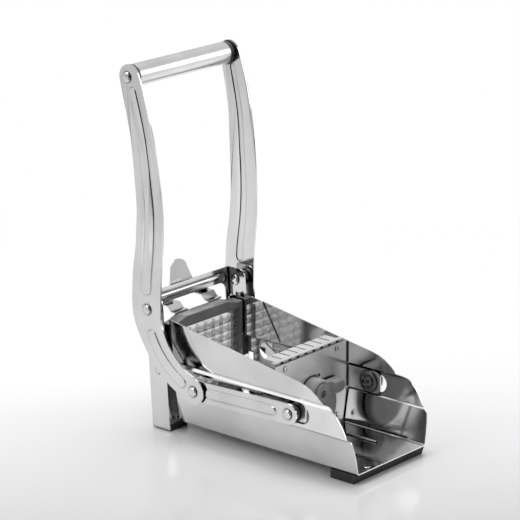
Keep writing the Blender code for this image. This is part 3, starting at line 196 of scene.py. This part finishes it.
def pattern(tree, kind, scale, stretch=(1, 1, 1), detail=4):
    """A noise or wave pattern in the piece's own place, stretched along its axes."""
    place = tree.nodes.new("ShaderNodeTexCoord")
    mapping = tree.nodes.new("ShaderNodeMapping")
    mapping.inputs["Scale"].default_value = stretch
    texture = tree.nodes.new(kind)
    texture.inputs["Scale"].default_value = scale
    if "Detail" in texture.inputs:
        texture.inputs["Detail"].default_value = detail
    tree.links.new(place.outputs["Object"], mapping.inputs["Vector"])
    tree.links.new(mapping.outputs["Vector"], texture.inputs["Vector"])
    return texture


def ramp(tree, source, stops):
    node = tree.nodes.new("ShaderNodeValToRGB")
    points = node.color_ramp.elements
    while len(points) < len(stops):
        points.new(0.5)
    for point, (where, value) in zip(points, stops):
        point.position = where
        point.color = (*value, 1) if isinstance(value, tuple) else (value, value, value, 1)
    tree.links.new(source, node.inputs["Fac"])
    return node.outputs["Color"]


def bump(tree, heights, distance):
    """Chain bumps of (height, strength), the broadest first."""
    last = None
    for height, strength in heights:
        node = tree.nodes.new("ShaderNodeBump")
        node.inputs["Strength"].default_value = strength
        node.inputs["Distance"].default_value = distance
        tree.links.new(height, node.inputs["Height"])
        if last:
            tree.links.new(last, node.inputs["Normal"])
        last = node.outputs["Normal"]
    return last


def painted_crease_shade(tree, unshaded_colour, reach, stops):
    """Darken a colour with painted shade in folds and round the feet of ribs and rivets, where ambient occlusion
    finds them.
    """
    # Painted shade: ambient occlusion darkens the colour in folds, gaps and round the feet of ribs and rivets.
    corners = tree.nodes.new("ShaderNodeAmbientOcclusion")
    corners.samples = 8
    corners.inputs["Distance"].default_value = reach
    crease_shade = ramp(tree, corners.outputs["AO"], stops)
    mix = tree.nodes.new("ShaderNodeMix")
    mix.data_type = "RGBA"
    mix.blend_type = "MULTIPLY"
    mix.inputs["Factor"].default_value = 1
    tree.links.new(unshaded_colour, mix.inputs["A"])
    tree.links.new(crease_shade, mix.inputs["B"])
    return mix.outputs["Result"]


def steel(name, tones, gloss, grain, grain_strength, sheet_wave, crease_shade=((0.66, 0.04), (0.97, 1.0))):
    """Polished or satin steel: slow waves in the sheet, smudges in its gloss, rolling marks, and painted shade
    darkening its folds and the feet of ribs and rivets.
    """
    material, tree, shader = new_material(name)
    shader.inputs["Metallic"].default_value = 1
    smudges = pattern(tree, "ShaderNodeTexNoise", 22)
    unshaded_colour = ramp(tree, smudges.outputs["Fac"], ((0.35, tones[0]), (0.68, tones[1])))
    # Base colour darkened with painted shade in folds and round the feet of ribs and rivets.
    tree.links.new(painted_crease_shade(tree, unshaded_colour, 0.0028, crease_shade), shader.inputs["Base Color"])
    wipes = pattern(tree, "ShaderNodeTexNoise", 48, (1, 1, 0.35), 8)
    tree.links.new(ramp(tree, wipes.outputs["Fac"], ((0.4, gloss[0]), (0.72, gloss[1]))), shader.inputs["Roughness"])
    waves = pattern(tree, "ShaderNodeTexNoise", 9, (1, 1, 1), 1)
    lines = pattern(tree, "ShaderNodeTexNoise", 900, grain, 3)
    heights = ((waves.outputs["Fac"], sheet_wave), (lines.outputs["Fac"], grain_strength))
    tree.links.new(bump(tree, heights, 0.0006), shader.inputs["Normal"])
    return material


def moulding(name, dark, light, gloss, speckle):
    """Moulded plastic or rubber: fine speckle, soft colour drift, worn gloss, and painted shade darkening its gaps
    and hollows.
    """
    material, tree, shader = new_material(name)
    drift = pattern(tree, "ShaderNodeTexNoise", 60)
    unshaded_colour = ramp(tree, drift.outputs["Fac"], ((0.35, dark), (0.7, light)))
    # Base colour darkened with painted shade in gaps and hollows.
    tree.links.new(painted_crease_shade(tree, unshaded_colour, 0.0022, ((0.35, 0.15), (0.92, 1.0))), shader.inputs["Base Color"])
    worn = pattern(tree, "ShaderNodeTexNoise", 140, (1, 1, 1), 6)
    tree.links.new(ramp(tree, worn.outputs["Fac"], ((0.3, gloss[0]), (0.7, gloss[1]))), shader.inputs["Roughness"])
    grains = pattern(tree, "ShaderNodeTexNoise", 2600, (1, 1, 1), 2)
    tree.links.new(bump(tree, ((grains.outputs["Fac"], speckle),), 0.0002), shader.inputs["Normal"])
    return material


def make_finishes():
    return {
        "polished_steel": steel("polished steel", ((0.64, 0.643, 0.646), (0.74, 0.742, 0.745)), (0.07, 0.17), (0.03, 1, 1), 0.03, 0.010),
        "plate_steel": steel("brushed plate", ((0.80, 0.802, 0.805), (0.88, 0.882, 0.884)), (0.28, 0.40), (1, 0.6, 0.02), 0.10, 0.008),
        "satin_steel": steel("satin steel", ((0.70, 0.703, 0.706), (0.78, 0.782, 0.785)), (0.20, 0.30), (1, 0.02, 1), 0.10, 0.01),
        # The last stops of the blade and ground edge finishes give them weaker painted shade in their corners.
        "blade_steel": steel("ground blade steel", ((0.64, 0.643, 0.646), (0.74, 0.742, 0.745)), (0.10, 0.22), (1, 0.05, 1), 0.08, 0.02, ((0.0, 0.5), (0.7, 1.0))),
        "ground_edge": steel("ground edge", ((0.84, 0.843, 0.846), (0.92, 0.922, 0.924)), (0.28, 0.42), (1, 0.05, 1), 0.12, 0.01, ((0.0, 0.8), (0.6, 1.0))),
        "dark_plastic": moulding("dark moulding", (0.055, 0.055, 0.058), (0.085, 0.085, 0.088), (0.26, 0.42), 0.10),
        "grey_plastic": moulding("grey moulding", (0.29, 0.292, 0.297), (0.35, 0.352, 0.357), (0.28, 0.44), 0.12),
        "pusher_plastic": moulding("pale moulding", (0.46, 0.463, 0.468), (0.54, 0.543, 0.548), (0.12, 0.26), 0.05),
        "cutter_plastic": moulding("cutter moulding", (0.20, 0.201, 0.204), (0.25, 0.251, 0.254), (0.14, 0.26), 0.04),
        "foot_rubber": moulding("foot rubber", (0.012, 0.012, 0.012), (0.022, 0.022, 0.022), (0.5, 0.75), 0.25),
    }


def paint(piece, finish):
    piece.data.materials.clear()
    piece.data.materials.append(finishes[finish])


# Set: floor, world, lamps and camera

def make_camera():
    away = Vector((
        -math.sin(camera_azimuth) * math.cos(camera_elevation),
        math.cos(camera_azimuth) * math.cos(camera_elevation),
        -math.sin(camera_elevation),
    ))
    right = Vector((math.cos(camera_azimuth), math.sin(camera_azimuth), 0))
    up = right.cross(away)
    camera = bpy.data.objects.new("camera", bpy.data.cameras.new("camera"))
    camera.matrix_world = Matrix.Translation(camera_place) @ Matrix((right, up, -away)).transposed().to_4x4()
    camera.data.sensor_width = 36
    camera.data.lens = camera_lens
    bpy.context.scene.collection.objects.link(camera)
    bpy.context.scene.camera = camera


def seen_directly(tree):
    """1 for rays from the camera, from mirrors and through glass."""
    path = tree.nodes.new("ShaderNodeLightPath")
    total = path.outputs["Is Camera Ray"]
    for name in ("Is Glossy Ray", "Is Transmission Ray"):
        add = tree.nodes.new("ShaderNodeMath")
        add.operation = "MAXIMUM"
        tree.links.new(total, add.inputs[0])
        tree.links.new(path.outputs[name], add.inputs[1])
        total = add.outputs[0]
    return total


def make_floor():
    """Pale glossy table with painted shade darkening it towards the camera, that fades to white behind the object."""
    deselect_all()
    bpy.ops.mesh.primitive_plane_add(size=12, location=(-3.0, 3.5, 0))
    floor = settle(bpy.context.object)
    floor.name = "floor"
    material, tree, shader = new_material("pale table")
    place = tree.nodes.new("ShaderNodeTexCoord")
    along = tree.nodes.new("ShaderNodeVectorMath")
    along.operation = "DOT_PRODUCT"
    along.inputs[1].default_value = (-math.sin(camera_azimuth), math.cos(camera_azimuth), 0)
    tree.links.new(place.outputs["Object"], along.inputs[0])
    share = tree.nodes.new("ShaderNodeMapRange")
    share.inputs["From Min"].default_value = -1.2
    share.inputs["From Max"].default_value = 1.2
    tree.links.new(along.outputs["Value"], share.inputs["Value"])
    # Painted shade: the table's colour runs from near black on the camera's side to pale behind the object.
    tones = ramp(tree, share.outputs[0], ((0.0, 0.05), (0.22, 0.10), (0.35, 0.36), (0.42, 0.58), (0.5, 0.73), (0.6, 0.84)))
    tree.links.new(tones, shader.inputs["Base Color"])
    shader.inputs["Roughness"].default_value = 0.16
    grains = pattern(tree, "ShaderNodeTexNoise", 300)
    tree.links.new(bump(tree, ((grains.outputs["Fac"], 0.02),), 0.0002), shader.inputs["Normal"])
    glow = tree.nodes.new("ShaderNodeEmission")
    glow.inputs["Color"].default_value = (1, 1, 1, 1)
    fade = ramp(tree, share.outputs[0], ((0.52, 0.0), (0.60, 0.55), (0.70, 0.9), (0.80, 1.0)))
    distance = tree.nodes.new("ShaderNodeVectorMath")
    distance.operation = "LENGTH"
    tree.links.new(place.outputs["Object"], distance.inputs[0])
    far = tree.nodes.new("ShaderNodeMapRange")
    far.inputs["From Min"].default_value = 0.45
    far.inputs["From Max"].default_value = 1.0
    tree.links.new(distance.outputs["Value"], far.inputs["Value"])
    path = tree.nodes.new("ShaderNodeLightPath")
    far_seen = tree.nodes.new("ShaderNodeMath")
    far_seen.operation = "MULTIPLY"
    tree.links.new(far.outputs[0], far_seen.inputs[0])
    tree.links.new(path.outputs["Is Camera Ray"], far_seen.inputs[1])
    near_seen = tree.nodes.new("ShaderNodeMath")
    near_seen.operation = "MULTIPLY"
    tree.links.new(fade, near_seen.inputs[0])
    tree.links.new(seen_directly(tree), near_seen.inputs[1])
    amount = tree.nodes.new("ShaderNodeMath")
    amount.operation = "MAXIMUM"
    tree.links.new(far_seen.outputs[0], amount.inputs[0])
    tree.links.new(near_seen.outputs[0], amount.inputs[1])
    mix = tree.nodes.new("ShaderNodeMixShader")
    tree.links.new(amount.outputs[0], mix.inputs["Fac"])
    tree.links.new(shader.outputs[0], mix.inputs[1])
    tree.links.new(glow.outputs[0], mix.inputs[2])
    tree.links.new(mix.outputs[0], tree.nodes["Material Output"].inputs["Surface"])
    floor.data.materials.append(material)


def make_world():
    """White studio that is dim on the camera's side, low down."""
    world = bpy.data.worlds.new("studio")
    bpy.context.scene.world = world
    world.use_nodes = True
    tree = world.node_tree
    background = tree.nodes["Background"]
    place = tree.nodes.new("ShaderNodeTexCoord")
    toward = tree.nodes.new("ShaderNodeVectorMath")
    toward.operation = "DOT_PRODUCT"
    toward.inputs[1].default_value = (0.65, -0.76, 0)
    tree.links.new(place.outputs["Generated"], toward.inputs[0])
    front = tree.nodes.new("ShaderNodeMapRange")
    front.interpolation_type = "SMOOTHSTEP"
    front.inputs["From Min"].default_value = 0.2
    front.inputs["From Max"].default_value = 0.75
    tree.links.new(toward.outputs["Value"], front.inputs["Value"])
    parts = tree.nodes.new("ShaderNodeSeparateXYZ")
    tree.links.new(place.outputs["Generated"], parts.inputs[0])
    low_down = ramp(tree, parts.outputs["Z"], ((0.0, 0.03), (0.42, 0.05), (0.72, 0.85), (0.9, 1.0)))
    behind = ramp(tree, parts.outputs["Z"], ((0.0, 0.95), (1.0, 1.0)))
    room_mix = tree.nodes.new("ShaderNodeMix")
    room_mix.data_type = "RGBA"
    tree.links.new(front.outputs[0], room_mix.inputs["Factor"])
    tree.links.new(behind, room_mix.inputs["A"])
    tree.links.new(low_down, room_mix.inputs["B"])
    room = room_mix.outputs["Result"]
    path = tree.nodes.new("ShaderNodeLightPath")
    mix = tree.nodes.new("ShaderNodeMix")
    mix.data_type = "RGBA"
    tree.links.new(path.outputs["Is Camera Ray"], mix.inputs["Factor"])
    tree.links.new(room, mix.inputs["A"])
    mix.inputs["B"].default_value = (1, 1, 1, 1)
    tree.links.new(mix.outputs["Result"], background.inputs["Color"])
    background.inputs["Strength"].default_value = world_strength


def area_lamp(name, place, target, size, power):
    lamp = bpy.data.objects.new(name, bpy.data.lights.new(name, "AREA"))
    lamp.data.shape = "RECTANGLE"
    lamp.data.size, lamp.data.size_y = size
    lamp.data.energy = power
    lamp.location = place
    lamp.rotation_euler = (Vector(target) - Vector(place)).to_track_quat("-Z", "Y").to_euler()
    bpy.context.scene.collection.objects.link(lamp)
    return lamp


world_strength = 0.72


def make_lamps():
    area_lamp("top softbox", (-0.3, 0.2, 1.7), (0, 0, 0.05), (1.0, 1.0), 17)
    area_lamp("rear left softbox", (-1.25, -0.15, 1.35), (0, 0, 0.08), (1.7, 0.7), 2.6)
    area_lamp("right softbox", (1.0, 1.25, 0.75), (0.03, -0.03, 0.07), (0.8, 0.8), 3.5)
    area_lamp("left softbox", (-0.6, -1.5, 0.9), (0, 0, 0.1), (0.9, 1.2), 8)


# Finishing pieces

def rivet_head(name, node, side, radius, height, body):
    """Domed head over a packed rivet's outer end."""
    low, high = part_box(node)
    middle = (low + high) / 2
    face = high.y - height if side > 0 else low.y + height
    centre = (middle.x, face, middle.z)
    steps = (
        (0, height * 0.30),
        (radius * 0.06, height * 0.18),
        (radius * 0.10, height * 0.18),
        (radius * 0.14, height * 0.16),
        (radius * 0.18, height * 0.11),
        (radius * 0.22, height * 0.08),
        (radius * 0.16, height * 0.03),
    )
    head = turned_disc(name, centre, "+Y" if side > 0 else "-Y", radius, steps)
    smooth(head, 60)
    paint(head, "polished_steel")
    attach(head, body)
    return head


def make_rivet_heads():
    for side, word in ((-1, "left"), (1, "right")):
        rivet_head(word + "_pivot_head", word + "_pivot_rivet", side, 0.00482, 0.00165, "frame")
        rivet_head(word + "_crank_head", word + "_crank_rivet", side, 0.00482, 0.00165, "handle")
        rivet_head(word + "_stud_head", word + "_link_stud", side, 0.00482, 0.00165, word + "_link")
        rivet_head(word + "_upper_frame_head", word + "_upper_frame_rivet", side, 0.00312, 0.00112, "frame")
        rivet_head(word + "_lower_frame_head", word + "_lower_frame_rivet", side, 0.00312, 0.00112, "frame")


def make_cap_rims():
    """Lips of the grip's end caps, flush with a tube drawn shorter by their width."""
    low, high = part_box("grip_tube")
    middle = (low + high) / 2
    tube = finished_copy("grip_tube", 0.0001)
    pick(tube)
    bpy.ops.object.mode_set(mode="EDIT")
    for side in (-1, 1):
        end = high.y if side > 0 else low.y
        select_faces(tube, lambda place, normal: abs(place.y - end) < 0.0003)
        bpy.ops.transform.translate(value=(0, -side * rim_width, 0))
    bpy.ops.object.mode_set(mode="OBJECT")
    paint(tube, "satin_steel")
    for side, word in ((-1, "left"), (1, "right")):
        end = high.y if side > 0 else low.y
        rim = turned_disc(word + "_cap_rim", (middle.x, end - side * rim_width, middle.z), "+Y" if side > 0 else "-Y",
                          (high.z - low.z) / 2 - 0.00002, ((0, rim_width), (0.0001, 0)))
        bevel_edges(rim, 0.0002, 2, 40)
        smooth(rim, 40)
        paint(rim, "dark_plastic")
        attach(rim, "handle")


def make_eyelets():
    """Ringed eyelets on the inside of the carriage's wings."""
    for side, word in ((-1, "left"), (1, "right")):
        low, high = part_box(word + "_carriage_rivet")
        middle = (low + high) / 2
        inner = low.y if side > 0 else high.y
        out = -side
        face = inner + side * 0.00168
        steps = (
            (0, 0.00095),
            (0.0006, 0.00025),
            (0.0007, -0.00005),
            (0.0010, -0.00050),
            (0.0016, 0.00002),
            (0.0006, 0.00060),
            (0.0005, 0.00030),
            (0.0010, -0.00025),
            (0.0008, 0.00035),
        )
        eyelet = turned_disc(word + "_eyelet", (middle.x, face, middle.z), "-Y" if side > 0 else "+Y", 0.00972, steps)
        bevel_edges(eyelet, 0.00008, 2, 40)
        smooth(eyelet, 50)
        paint(eyelet, "polished_steel")
        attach(eyelet, "carriage")


def ground_blade(node, thickness_axis):
    """A blade whose front edge is ground to a taper on both sides."""
    low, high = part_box(node)
    source = frame["nodes"][node]
    blade = bpy.data.objects.new(node + "_ground", source.data.copy())
    bpy.context.scene.collection.objects.link(blade)
    blade.data.name = node + "_ground"
    pick(blade)
    if blade.data.has_custom_normals:
        bpy.ops.mesh.customdata_custom_splitnormals_clear()
    bpy.ops.object.mode_set(mode="EDIT")
    bpy.ops.mesh.select_all(action="SELECT")
    bpy.ops.mesh.remove_doubles(threshold=weld_distance)
    bpy.ops.mesh.dissolve_limited(angle_limit=math.radians(0.5))
    bpy.ops.mesh.select_all(action="SELECT")
    bpy.ops.mesh.bisect(plane_co=(high.x - 0.0019, 0, 0), plane_no=(1, 0, 0))
    select_faces(blade, lambda place, normal: normal.x > 0.9 and place.x > high.x - 0.0002)
    middle = (low + high) / 2
    squeeze = [1, 1, 1]
    squeeze[thickness_axis] = 0.16
    bpy.ops.transform.resize(value=squeeze, center_override=middle)
    bpy.ops.object.mode_set(mode="OBJECT")
    blade.data.materials.clear()
    blade.data.materials.append(finishes["blade_steel"])
    blade.data.materials.append(finishes["ground_edge"])
    bpy.ops.object.mode_set(mode="EDIT")
    select_faces(blade, lambda place, normal: place.x > high.x - 0.0018)
    blade.active_material_index = 1
    bpy.ops.object.material_slot_assign()
    bpy.ops.object.mode_set(mode="OBJECT")
    smooth(blade, 20)
    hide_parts(node)
    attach(blade, "frame")


def make_blades():
    for number in range(1, 8):
        ground_blade("upright_blade_" + str(number), 1)
        ground_blade("level_blade_" + str(number), 2)


def make_knob_face():
    """Concentric steps on the front of the knob's hub, open round the screw."""
    low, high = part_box("knob")
    screw_low, screw_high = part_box("knob_screw")
    middle = (screw_low + screw_high) / 2
    steps = (
        (0, 0.0010),
        (0.0006, 0.0003),
        (0.0016, 0),
        (0.0003, -0.0005),
        (0.0012, 0),
        (0.0003, 0.0005),
        (0.0014, 0.0002),
    )
    face = turned_disc("knob_ring_face", (high.x - 0.0011, middle.y, middle.z), "X", 0.00930, steps)
    cutter = turned_disc("screw_well", (high.x - 0.004, middle.y, middle.z), "X", 0.00345, ((0, 0.008), (0.0001, 0.0001)))
    well = face.modifiers.new("Screw well", "BOOLEAN")
    well.object = cutter
    well.solver = "EXACT"
    apply_modifiers(face)
    bpy.data.objects.remove(cutter)
    bevel_edges(face, 0.00012, 2, 40)
    smooth(face, 40)
    paint(face, "grey_plastic")
    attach(face, "knob")


def make_knob_screw():
    """Pan-head screw with a cross recess."""
    low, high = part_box("knob_screw")
    middle = (low + high) / 2
    steps = ((0, 0.0075), (0, 0.0010), (0.0004, 0.00028), (0.0006, 0.00014), (0.0008, 0.00006))
    screw = turned_disc("knob_screw_finished", (high.x - 0.00898, middle.y, middle.z), "X", 0.00325, steps)
    for turn in (math.radians(20), math.radians(110)):
        deselect_all()
        bpy.ops.mesh.primitive_cube_add(size=1, location=(high.x, middle.y, middle.z), rotation=(turn, 0, 0))
        slot = bpy.context.object
        slot.scale = (0.0026, 0.0042, 0.00085)
        settle(slot)
        bpy.ops.object.mode_set(mode="EDIT")
        select_faces(slot, lambda place, normal: normal.x < -0.9)
        bpy.ops.transform.resize(value=(1, 0.5, 0.5), center_override=(high.x, middle.y, middle.z))
        bpy.ops.object.mode_set(mode="OBJECT")
        cut = screw.modifiers.new("Cross recess", "BOOLEAN")
        cut.object = slot
        cut.solver = "EXACT"
        apply_modifiers(screw)
        bpy.data.objects.remove(slot)
    bevel_edges(screw, 0.00006, 1, 45)
    smooth(screw, 40)
    paint(screw, "polished_steel")
    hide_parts("knob_screw")
    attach(screw, "knob")


# Making

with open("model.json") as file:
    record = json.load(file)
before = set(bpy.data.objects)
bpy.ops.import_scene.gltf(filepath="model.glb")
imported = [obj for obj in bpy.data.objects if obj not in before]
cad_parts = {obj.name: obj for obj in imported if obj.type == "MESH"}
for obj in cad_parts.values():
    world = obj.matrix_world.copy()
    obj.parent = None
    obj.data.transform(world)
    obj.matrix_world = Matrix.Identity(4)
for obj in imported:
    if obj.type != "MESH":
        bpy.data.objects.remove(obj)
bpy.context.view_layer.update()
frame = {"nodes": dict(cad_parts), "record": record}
body_of = {node: body for body, nodes in frame["record"]["behaviour"]["bodies"].items() for node in nodes}
slot_of = {part["node"]: part["material_slot"] for part in frame["record"]["subparts"]}

make_camera()
bpy.context.scene.view_settings.view_transform = "Standard"
finishes = make_finishes()
finish_of = {"carriage_plate": "plate_steel", "pusher_block": "pusher_plastic", "cutter_frame": "cutter_plastic"}
for node, piece in frame["nodes"].items():
    piece.data.materials.clear()
    piece.data.materials.append(finishes[finish_of.get(node, slot_of[node])])

make_floor()
make_world()
make_lamps()

edge_of = {
    "trough": sheet_edge,
    "rear_frame": sheet_edge,
    "left_arm": sheet_edge,
    "right_arm": sheet_edge,
    "left_link": sheet_edge,
    "right_link": sheet_edge,
    "carriage_plate": sheet_edge,
    "latch_leaf": sheet_edge,
    "cutter_frame": sheet_edge,
    "knob": sheet_edge,
    "front_foot": sheet_edge,
}
for node, width in edge_of.items():
    paint(finished_copy(node, width), finish_of.get(node, slot_of[node]))

make_blades()
make_rivet_heads()
make_cap_rims()
make_eyelets()
make_knob_face()
make_knob_screw()
